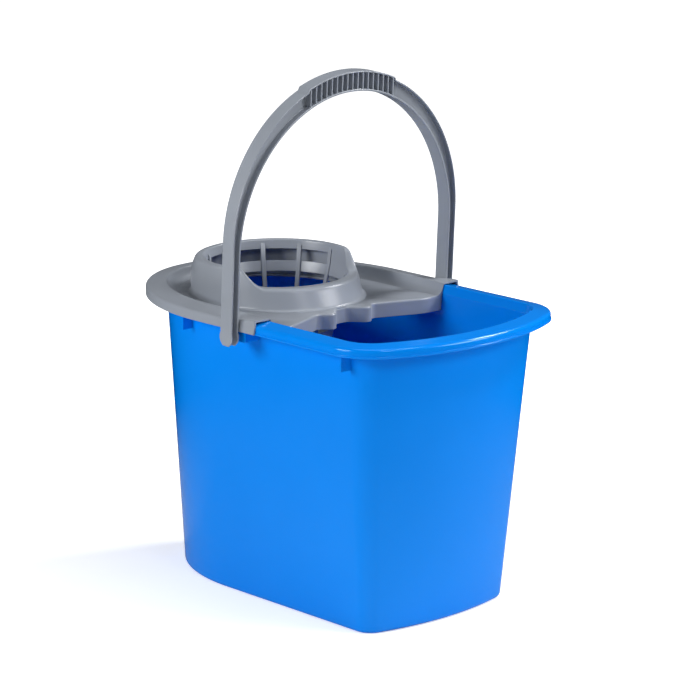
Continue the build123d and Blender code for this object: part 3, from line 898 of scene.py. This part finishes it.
half_wall = GRIP_RIB_WALL / 2
half_height = GRIP_RIB_HEIGHT / 2
grip_side = [(-half_wall, -half_height), (half_wall, -half_height)]
grip_side += [(half_wall, half_height), (-half_wall, half_height)]
grip_ribs = mesh_object("bail_grip_ribs", *slab(grip_side, GRIP_RIB_WIDTH))
repeated(
    grip_ribs,
    row_tree,
    Material=grey,
    Count=GRIP_RIBS,
    First=-GRIP_HALF_RUN / 1000,
    Step=2 * GRIP_HALF_RUN / (GRIP_RIBS - 1) / 1000,
    Reach=LEG_MIDDLE / 1000,
    Rise=MIDDLE_RISE / 1000,
    Spring=(MIDDLE_SPRING + GRIP_RIB_LIFT) / 1000,
)
grip_place = Matrix.Translation(bail_place.translation / 1000) @ Matrix.Rotation(LEAN, 4, "Y")
grip_ribs.data.transform(grip_place)
soften(grip_ribs, 0.4)
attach(grip_ribs, "bail")

# Pegs: short round pins on the inner faces of the ears, with a rounded end that rides into the lug's bore.
# They are moulded with the arch.

PEG = 3.0
PEG_ROUND = 1.2
PEG_TIP = 0.4
PEG_END = 116.2
PEG_ROOT = 138.0

peg_corners = [(0.0, PEG_END, 0), (PEG, PEG_END, PEG_ROUND), (PEG, PEG_ROOT, 0)]
peg_profile = [(PEG_TIP, PEG_END)] + rounded(peg_corners) + [(PEG, PEG_ROOT)]
for name, node, side in (("left", "bail_peg_left", 1), ("right", "bail_peg_right", -1)):
    peg_points = []
    for radius, y in peg_profile:
        peg_points += [beside_pivot(x, z, side * y) for x, z in circle(ROUND_STEPS, radius)]
    peg = mesh_object("bail_pivot_" + name, peg_points, tube_faces(len(peg_profile), ROUND_STEPS))
    peg.data.materials.append(grey)
    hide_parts(node)
    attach(peg, "bail")

# Floor, light and camera: a plain pale floor that runs into a white surround. Two softboxes beside the camera
# light the two walls in view, one overhead lights the tops, and three small lights draw the highlights on
# rim and hood. Lengths here are metres.

FLOOR_HALF = 8.0
FLOOR_SHADE = 0.95
SURROUND_LIGHT = 0.04

floor_corners = [(-FLOOR_HALF, -FLOOR_HALF, 0), (FLOOR_HALF, -FLOOR_HALF, 0)]
floor_corners += [(FLOOR_HALF, FLOOR_HALF, 0), (-FLOOR_HALF, FLOOR_HALF, 0)]
floor_mesh = bpy.data.meshes.new("floor")
floor_mesh.from_pydata(floor_corners, [], [(0, 1, 2, 3)])
floor = bpy.data.objects.new("floor", floor_mesh)
bpy.context.scene.collection.objects.link(floor)
floor_paint = bpy.data.materials.new("white studio floor")
floor_paint.use_nodes = True
tree = floor_paint.node_tree
matt = tree.nodes["Principled BSDF"]
matt.inputs["Roughness"].default_value = 0.9
matt.inputs["Specular IOR Level"].default_value = 0.0
matt.inputs["Emission Color"].default_value = (1, 1, 1, 1)
place = add_node(tree, "ShaderNodeTexCoord")["Object"]
far = add_node(tree, "ShaderNodeVectorMath", {0: place}, operation="LENGTH")["Value"]
seen_by = add_node(tree, "ShaderNodeLightPath")

# Seen directly, the floor fades to plain white away from the tub. In reflections it is dim and fades to
# dark.
pale_span = {"Value": far, "From Min": 0.3, "From Max": 0.8, "To Min": 0.45, "To Max": 1.0}
pale = add_node(tree, "ShaderNodeMapRange", pale_span)["Result"]
glow = add_node(tree, "ShaderNodeMath", {0: pale, 1: seen_by["Is Camera Ray"]}, operation="MULTIPLY")[0]
tree.links.new(glow, matt.inputs["Emission Strength"])
dim_span = {"Value": far, "From Min": 0.2, "From Max": 0.7, "To Min": 0.4, "To Max": FLOOR_SHADE}
dim = add_node(tree, "ShaderNodeMapRange", dim_span)["Result"]
dusk = add_node(tree, "ShaderNodeMath", {0: dim, 1: seen_by["Is Glossy Ray"]}, operation="MULTIPLY")[0]
shade = add_node(tree, "ShaderNodeMath", {0: FLOOR_SHADE, 1: dusk}, operation="SUBTRACT")[0]
tree.links.new(shade, matt.inputs["Base Color"])
floor_mesh.materials.append(floor_paint)

surround = bpy.data.worlds.new("white surround")
bpy.context.scene.world = surround
surround.use_nodes = True
tree = surround.node_tree
seen_by = add_node(tree, "ShaderNodeLightPath")
light_span = {"Value": seen_by["Is Camera Ray"], "To Min": SURROUND_LIGHT, "To Max": 1.0}
level = add_node(tree, "ShaderNodeMapRange", light_span)["Result"]
tree.nodes["Background"].inputs["Color"].default_value = (1, 1, 1, 1)
tree.links.new(level, tree.nodes["Background"].inputs["Strength"])


def area_light(name, place, target, width, height, power):
    """Soft rectangular light that faces a target, in metres and watts."""
    data = bpy.data.lights.new(name, "AREA")
    data.shape = "RECTANGLE"
    data.size = width
    data.size_y = height
    data.energy = power
    light = bpy.data.objects.new(name, data)
    light.location = place
    light.rotation_euler = (Vector(target) - Vector(place)).to_track_quat("-Z", "Y").to_euler()
    bpy.context.scene.collection.objects.link(light)


area_light("left softbox", (-0.6, -2.3, 1.1), (0, 0, 0.2), 1.2, 0.8, 43)
area_light("right softbox", (1.9, 1.2, 1.3), (0, 0, 0.2), 1.2, 0.8, 28)
area_light("overhead softbox", (0.1, -0.1, 2.3), (0, 0, 0.3), 1.4, 1.4, 8)
area_light("far softbox", (0.5, 1.6, 1.9), (0, 0, 0.3), 0.5, 0.5, 28)
area_light("hood softbox", (1.95, -0.5, 1.55), (0, 0, 0.3), 0.5, 0.3, 5)
area_light("rim strip", (1.1, 0.1, 2.1), (0, 0, 0.3), 1.0, 0.1, 7)

# The camera stands at its place, with these directions to its right and behind it.
scene = bpy.context.scene
camera = bpy.data.objects.new("camera", bpy.data.cameras.new("camera"))
camera.data.sensor_width = 36.0
camera.data.lens = 168.34
camera_place = Vector((2.2965, -2.1036, 0.9928))
right = Vector((0.67985, 0.73336, 0.0))
back = Vector((0.71262, -0.66062, 0.23616))
up = back.cross(right).normalized()
turned = Matrix((right, up, back)).transposed().to_4x4()
camera.matrix_world = Matrix.Translation(camera_place) @ turned
scene.collection.objects.link(camera)
scene.camera = camera
scene.view_settings.view_transform = "Standard"
